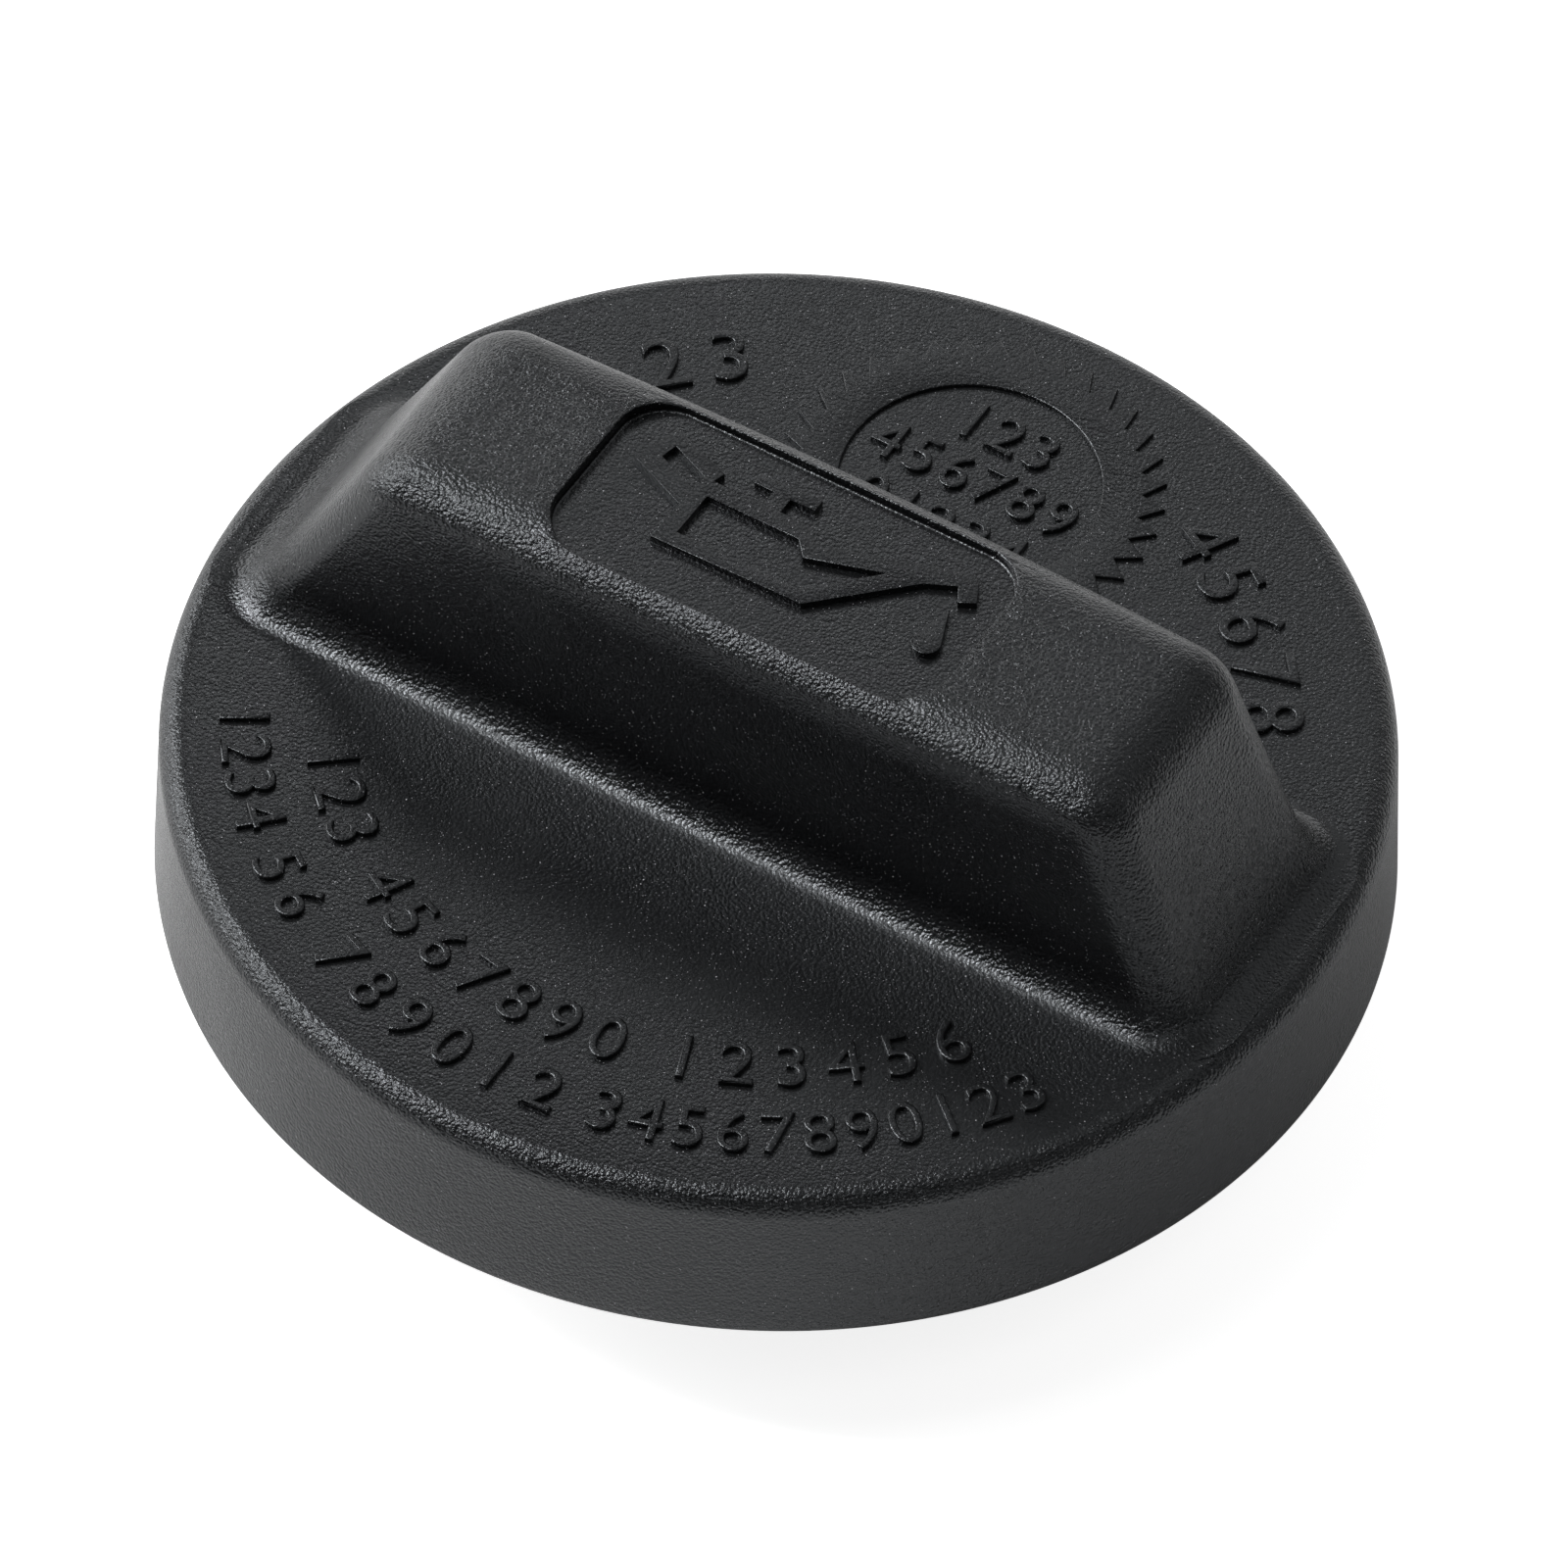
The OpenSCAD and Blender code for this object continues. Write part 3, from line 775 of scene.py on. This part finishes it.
def cover_details():
    """Ribs across the grip's hollow, ribs inside the skirt, and the stakes with their flattened heads.

    The ribs in the hollow reach RIB_SINK past its walls, as they stand GRIP_RIB_LEVEL over the disc.
    """
    parts = []
    rib_foot = UNDER_Z + KEY_H + KEY_GAP
    top = DISC_Z + GRIP_H - GRIP_TOP_WALL + RIB_TOP_SINK
    half_y = float(hollow_rings([GRIP_RIB_LEVEL])[0][:, 1].max()) + RIB_SINK
    for x in (-GRIP_RIB_PITCH, 0, GRIP_RIB_PITCH):
        parts.append(box_part((x - GRIP_RIB / 2, -half_y, rib_foot), (x + GRIP_RIB / 2, half_y, top)))
    for k in range(CENTRING_RIBS):
        rib = box_part(
            (FLANGE_R + FLANGE_GAP, -CENTRING_RIB_W / 2, FLANGE_Z - CENTRING_RIB_H),
            (INNER_R + RIB_SINK, CENTRING_RIB_W / 2, UNDER_Z + SINK),
        )
        parts.append(turned(rib, (k + 0.5) * 360 / CENTRING_RIBS))
    head_r = STAKE_HEAD_D / 2
    head = [(0, FLANGE_Z - STAKE_HEAD_H)]
    head += [(head_r * math.sin(t), FLANGE_Z - STAKE_HEAD_H * math.cos(t)) for t in turn_steps(8)[1:]]
    head += [(head_r, FLANGE_Z + HEAD_SINK), (0, FLANGE_Z + HEAD_SINK)]
    stake = revolved(head, 32)
    stake = stake[0] + [STAKE_CIRCLE_R, 0, 0], stake[1]
    parts += [turned(stake, (k + 0.5) * 360 / STAKES) for k in range(STAKES)]
    return merged(parts)


def tube_and_flange():
    """The plug's tube, plate and flange, from the middle of the plate's underside round to its top."""
    edge = TUBE_CHAMFER / 2
    groove_z = SEAL_FACE_Z - SEAL_GAP
    groove_r = TUBE_R - SEAL_GROOVE
    corners = [
        (0, FLANGE_Z),
        (BORE_R, FLANGE_Z),
        (BORE_R, edge),
        (BORE_R + edge, 0),
        (TUBE_R - TUBE_CHAMFER, 0),
        (TUBE_R, TUBE_CHAMFER),
        (TUBE_R, groove_z - SEAL_GROOVE),
        (groove_r, groove_z),
        (groove_r, FLANGE_Z),
        (FLANGE_R - edge, FLANGE_Z),
        (FLANGE_R, FLANGE_Z + edge),
        (FLANGE_R, UNDER_Z),
        (0, UNDER_Z),
    ]
    radii = [0.6, 0.3, 0.3, 0.3, 0.3, 0.2, 0.15, 0.15, 0.2, 0.2, 0.2]
    return revolved(softened(corners, radii))


def lug():
    """One bayonet lug: a section swept along LUG_ANGLE, its reach growing at the nose and its top rising.

    At share t of the sweep the reach is LUG_OUT times a share that grows from NOSE_START to 1 at NOSE_SHARE,
    and the upper face is LUG_RISE (1 - t) below its highest. Past STOP_START the stop stands STOP_H higher.
    """
    t = np.array([0, 0.06, 0.12, 0.18, 0.25, *np.linspace(0.3, 0.855, 16), 0.86, 0.9, 0.95, 1.0])
    out = TUBE_R + LUG_OUT * np.minimum(1, NOSE_START + (1 - NOSE_START) * t / NOSE_SHARE)
    top = LUG_Z + LUG_T - LUG_RISE * (1 - t) + STOP_H * (t > STOP_START)
    inside = np.full(len(t), BORE_R + TUBE_WALL / 2)
    low = np.full(len(t), LUG_Z)
    section = [(inside, low), (inside, top), (out, top), (out, low + LUG_CHAMFER), (out - LUG_CHAMFER, low)]
    angle = np.radians((t - 0.5) * LUG_ANGLE)
    rings = np.stack([np.stack([r * np.cos(angle), r * np.sin(angle), z], -1) for r, z in section], 1)
    return surface(rings)


def plug_details():
    """Lugs, the gussets under the plate, and the key on top of it."""
    parts = [turned(lug(), k * 360 / LUGS) for k in range(LUGS)]
    out_r, top = BORE_R + SINK, FLANGE_Z + SINK
    side = np.array([[out_r, top], [BORE_R - GUSSET_L - SINK, top], [out_r, FLANGE_Z - GUSSET_L - SINK]])
    rings = [np.column_stack([side[:, 0], np.full(3, y), side[:, 1]]) for y in (-GUSSET_T / 2, GUSSET_T / 2)]
    gusset = surface(np.stack(rings))
    parts += [turned(gusset, (k + 0.5) * 360 / GUSSETS) for k in range(GUSSETS)]
    parts.append(box_part((-KEY_L / 2, -KEY_W / 2, UNDER_Z - SINK), (KEY_L / 2, KEY_W / 2, UNDER_Z + KEY_H)))
    return merged(parts)


def seal_profile():
    """The seal ring's section: two lips with a channel between them, and a chamfered outer edge."""
    mid = (SEAL_IN_R + SEAL_OUT_R) / 2
    corners = [
        (SEAL_IN_R, (FLANGE_Z + SEAL_FACE_Z) / 2),
        (SEAL_IN_R, SEAL_FACE_Z),
        (mid - CHANNEL_W / 2, SEAL_FACE_Z),
        (mid - CHANNEL_W / 4, SEAL_FACE_Z + CHANNEL_D),
        (mid + CHANNEL_W / 4, SEAL_FACE_Z + CHANNEL_D),
        (mid + CHANNEL_W / 2, SEAL_FACE_Z),
        (SEAL_OUT_R - SEAL_CHAMFER, SEAL_FACE_Z),
        (SEAL_OUT_R, SEAL_FACE_Z + SEAL_CHAMFER),
        (SEAL_OUT_R, FLANGE_Z),
        (SEAL_IN_R, FLANGE_Z),
        (SEAL_IN_R, (FLANGE_Z + SEAL_FACE_Z) / 2),
    ]
    return softened(corners, [0.3, 0.3, 0.15, 0.15, 0.3, 0.2, 0.2, 0.15, 0.15])


# The oil can in the pocket: outline, the hole of its handle, the hole of its body, and the drop
CAN = [
    (-6.22, -2.53), (2.57, -2.37), (7.06, 2.06), (8.64, 2.85), (9.19, 1.90), (10.04, 2.37), (9.42, 3.64),
    (8.84, 3.96), (1.12, 1.42), (0.43, 2.34), (-1.49, 2.34), (-1.49, 3.32), (-0.06, 3.32), (-0.06, 4.08),
    (-3.64, 4.08), (-3.64, 3.32), (-2.54, 3.32), (-2.54, 2.34), (-5.42, 2.31), (-5.21, 3.01), (-8.87, 4.43),
    (-9.69, 1.58), (-6.15, 0.10),
]
CAN_HANDLE_HOLE = [(-8.29, 3.32), (-6.01, 2.31), (-5.96, 1.27), (-8.52, 2.37)]
CAN_BODY_HOLE = [(-5.17, 1.27), (-5.2, -1.58), (1.91, -1.58), (5.16, 1.68), (1.05, 0.32), (0.23, 1.27)]
SIGN_SHIFT = -0.15
DROP_MIDDLE = (9.2, -1.17)
DROP_R = 0.78
DROP_TIP = (9.09, 1.27)
DROP_FACET = 10


def drop_outline():
    """An arc of the drop's round part, closed by two straight sides to its tip, tangent to the arc."""
    away = np.array(DROP_TIP) - DROP_MIDDLE
    reach = float(np.linalg.norm(away))
    heading = math.degrees(math.atan2(away[1], away[0]))
    open_half = math.degrees(math.acos(DROP_R / reach))
    arc = arc_path(DROP_R, heading + open_half, heading + 360 - open_half, DROP_MIDDLE, DROP_FACET)
    return np.concatenate([arc, [DROP_TIP]])


def sign():
    """The raised sign in the pocket, standing about half its height out of the floor."""
    loops = [CAN, CAN_HANDLE_HOLE, CAN_BODY_HOLE, drop_outline()]
    vertices, faces = flat_shape(loops, SIGN_H, POCKET_Z, SIGN_EDGE)
    return vertices + [0, SIGN_SHIFT, 0], faces


def arc_numbers(numbers, size, radius, start, end, inward):
    """Figures spread evenly along an arc, their uprights pointing to the axis where inward is True."""
    turn = 180 if inward else 0
    angles = np.linspace(start, end, len(numbers))
    return [raised_number(text, size, on_circle(radius, a), a + turn) for text, a in zip(numbers, angles)]


# Plain figures on the disc: figures, size, radius of their middles, first and last angle, uprights inward
FIGURE_ROWS = [
    ("123", 2.8, 22.8, 219.0, 231.0, True),
    ("4567890", 2.8, 22.8, 241.0, 279.5, True),
    ("123456", 2.8, 22.8, 289.5, 323.5, True),
    ("1234", 2.7, 27.15, 212.0, 226.0, True),
    ("56", 2.7, 27.15, 233.3, 238.7, True),
    ("789012", 2.7, 27.15, 247.3, 276.0, True),
    ("34567890123", 2.7, 27.15, 283.0, 328.5, True),
    ("123", 3.5, 25.1, 143.0, 127.3, False),
    ("45678", 3.5, 25.2, 61.0, 32.5, False),
]

# The toothed plate behind the grip, and the rows of figures in its round window with their middles' y
PLATE_MIDDLE = (0.0, 18.9)
PLATE_TEETH = 36
PLATE_TIP_R = 10.2
PLATE_VALLEY_R = 8.95
PLATE_WINDOW_R = 6.85
PLATE_WINDOW_FACET = 3
PLATE_FIRST_TIP = 2.0
WINDOW_ROWS = [("123", 22.85), ("456789", 19.4), ("01234", 15.8)]
WINDOW_FIGURE = 2.6
WINDOW_STEP = 2.05


def toothed_plate():
    """A low plate, its edge straight between tips and valleys and cut off by the grip, its window round."""
    angle = np.radians(PLATE_FIRST_TIP + np.arange(2 * PLATE_TEETH) * 180 / PLATE_TEETH)
    reach = np.where(np.arange(2 * PLATE_TEETH) % 2, PLATE_VALLEY_R, PLATE_TIP_R)[:, None]
    edge = PLATE_MIDDLE + reach * np.stack([np.cos(angle), np.sin(angle)], -1)
    edge[:, 1] = np.maximum(edge[:, 1], GRIP_FOOT_W / 2 + SIDE_BLEND)
    window = arc_path(PLATE_WINDOW_R, 0, 360 - PLATE_WINDOW_FACET, PLATE_MIDDLE, PLATE_WINDOW_FACET)
    return flat_shape([edge, window], MARK_H, DISC_Z, MARK_EDGE)


def marks():
    """Rows of plain figures on the disc, and the toothed plate with figures in its window."""
    parts = []
    for row in FIGURE_ROWS:
        parts += arc_numbers(*row)
    for text, y in WINDOW_ROWS:
        for k, figure in enumerate(text):
            x = PLATE_MIDDLE[0] + (k - (len(text) - 1) / 2) * WINDOW_STEP
            parts.append(raised_number(figure, WINDOW_FIGURE, (x, y), 90))
    parts.append(toothed_plate())
    return merged(parts)


body_rings = cover_rings()
cover_piece = add_piece("cover_body", surface(body_rings), cover_skin)
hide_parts("cover")
details_piece = add_piece("cover_inside", cover_details(), cover_skin)
add_piece("oil_can_sign", sign(), mark_skin)
add_piece("disc_marks", marks(), mark_skin)
plug_piece = add_piece("plug_tube", tube_and_flange(), plug_skin)
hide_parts("bayonet_plug")
plug_extra = add_piece("plug_lugs", plug_details(), plug_skin)
ring_piece = add_piece("seal_body", revolved(seal_profile()), ring_skin)
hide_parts("seal_ring")

# Rounded edges on the two pieces of details, where faces turn by more than EDGE_ANGLE
COVER_EDGE_W = 0.12
PLUG_EDGE_W = 0.25
EDGE_STEPS = 3
EDGE_ANGLE = 40
for piece, width in ((details_piece, COVER_EDGE_W), (plug_extra, PLUG_EDGE_W)):
    bevel = piece.modifiers.new("edges", "BEVEL")
    bevel.width = width * MM
    bevel.segments = EDGE_STEPS
    bevel.limit_method = "ANGLE"
    bevel.angle_limit = math.radians(EDGE_ANGLE)

# Camera, fitted to the photograph. Its distance, in millimetres, is from the middle of the skirt's rim.
CAMERA_AZIMUTH = 30.4
CAMERA_ELEVATION = 49.55
CAMERA_ROLL = 1.4
CAMERA_DISTANCE = 757.0
CAMERA_LENS = 337.5
CAMERA_RIGHT = 0.404
CAMERA_UP = 3.174


def direction(azimuth, elevation):
    """The unit vector from the cap towards an azimuth and an elevation. Azimuth 0 is -Y, and 90 is +X."""
    a, e = math.radians(azimuth), math.radians(elevation)
    return Vector((math.sin(a) * math.cos(e), -math.cos(a) * math.cos(e), math.sin(e)))


def place_camera():
    """The camera looks along its fitted direction, moved sideways and up as the photograph is framed."""
    a, roll = math.radians(CAMERA_AZIMUTH), math.radians(CAMERA_ROLL)
    back = direction(CAMERA_AZIMUTH, CAMERA_ELEVATION)
    level = Vector((math.cos(a), math.sin(a), 0))
    over = back.cross(level)
    right = level * math.cos(roll) + over * math.sin(roll)
    up = over * math.cos(roll) - level * math.sin(roll)
    camera = bpy.data.objects.new("camera", bpy.data.cameras.new("camera"))
    bpy.context.scene.collection.objects.link(camera)
    camera.data.lens = CAMERA_LENS
    camera.data.sensor_width = 36
    camera.data.clip_start = 0.05
    camera.data.clip_end = 10
    place = Vector((0, 0, RIM_Z)) + back * CAMERA_DISTANCE + right * CAMERA_RIGHT + up * CAMERA_UP
    turn = Matrix((right, up, back)).transposed().to_4x4()
    camera.matrix_world = Matrix.Translation(place * MM) @ turn
    bpy.context.scene.camera = camera


# Soft lamps, all at one distance in metres: azimuth from the camera's, elevation, width, height and radiance
LAMP_DISTANCE = 1.2
LAMPS = [
    ("key", -99.5, 50, 0.36, 0.4, 28.5),
    ("key_low", -107, 28, 0.42, 0.35, 9.5),
    ("over", -90, 74, 0.42, 0.42, 3.4),
    ("low_left", -131, 9, 0.8, 0.3, 4.3),
    ("back", -172, 41, 0.3, 0.28, 2.6),
    ("back_right", 138, 44, 2.0, 0.8, 0.56),
    ("low_back", 178, 7, 1.2, 0.3, 1.8),
    ("front", 30, 60, 0.42, 0.42, 1.5),
]


def add_lamp(name, azimuth, elevation, width, height, radiance):
    """A rectangular soft lamp aimed at the cap. Its power is pi times its radiance times its area."""
    data = bpy.data.lights.new(name, "AREA")
    data.shape = "RECTANGLE"
    data.size, data.size_y = width, height
    data.energy = radiance * math.pi * width * height
    lamp = bpy.data.objects.new(name, data)
    bpy.context.scene.collection.objects.link(lamp)
    back = direction(CAMERA_AZIMUTH + azimuth, elevation)
    aim = back.to_track_quat("Z", "Y").to_matrix().to_4x4()
    lamp.matrix_world = Matrix.Translation(back * LAMP_DISTANCE) @ aim


bpy.context.scene.view_settings.view_transform = "Standard"
place_camera()
for lamp_values in LAMPS:
    add_lamp(*lamp_values)

# Surroundings: white to the camera, and plain grey light of this strength for everything else
WORLD_LEVEL = 0.03
scene_world = bpy.data.worlds.new("surroundings")
bpy.context.scene.world = scene_world
scene_world.use_nodes = True
sky = scene_world.node_tree
seen_by = node(sky, "ShaderNodeLightPath").outputs["Is Camera Ray"]
levels = {"Value": seen_by, "To Min": WORLD_LEVEL, "To Max": 1.0}
sky_level = node(sky, "ShaderNodeMapRange", levels).outputs[0]
sky.nodes["Background"].inputs["Color"].default_value = (1, 1, 1, 1)
sky.links.new(sky_level, sky.nodes["Background"].inputs["Strength"])

# The floor: half its side in metres, its paper's tone, and the light that it adds for the camera alone
FLOOR_HALF = 3.0
PAPER = (0.85, 0.85, 0.85, 1)
FLOOR_LIFT = 0.85


def floor_paper():
    """Matt white paper, lifted for camera rays alone, so that it reads as white and keeps its shadow."""
    material = bpy.data.materials.new("floor_paper")
    material.use_nodes = True
    tree = material.node_tree
    shader = tree.nodes["Principled BSDF"]
    shader.inputs["Base Color"].default_value = PAPER
    shader.inputs["Roughness"].default_value = 0.9
    shader.inputs["Specular IOR Level"].default_value = 0.0
    seen = node(tree, "ShaderNodeLightPath").outputs["Is Camera Ray"]
    shader.inputs["Emission Color"].default_value = (1, 1, 1, 1)
    tree.links.new(math_node(tree, "MULTIPLY", seen, FLOOR_LIFT), shader.inputs["Emission Strength"])
    return material


floor_mesh = bpy.data.meshes.new("floor")
corners = [(x * FLOOR_HALF, y * FLOOR_HALF, 0) for x, y in ((-1, -1), (1, -1), (1, 1), (-1, 1))]
floor_mesh.from_pydata(corners, [], [(0, 1, 2, 3)])
floor_mesh.materials.append(floor_paper())
floor = bpy.data.objects.new("floor", floor_mesh)
bpy.context.scene.collection.objects.link(floor)
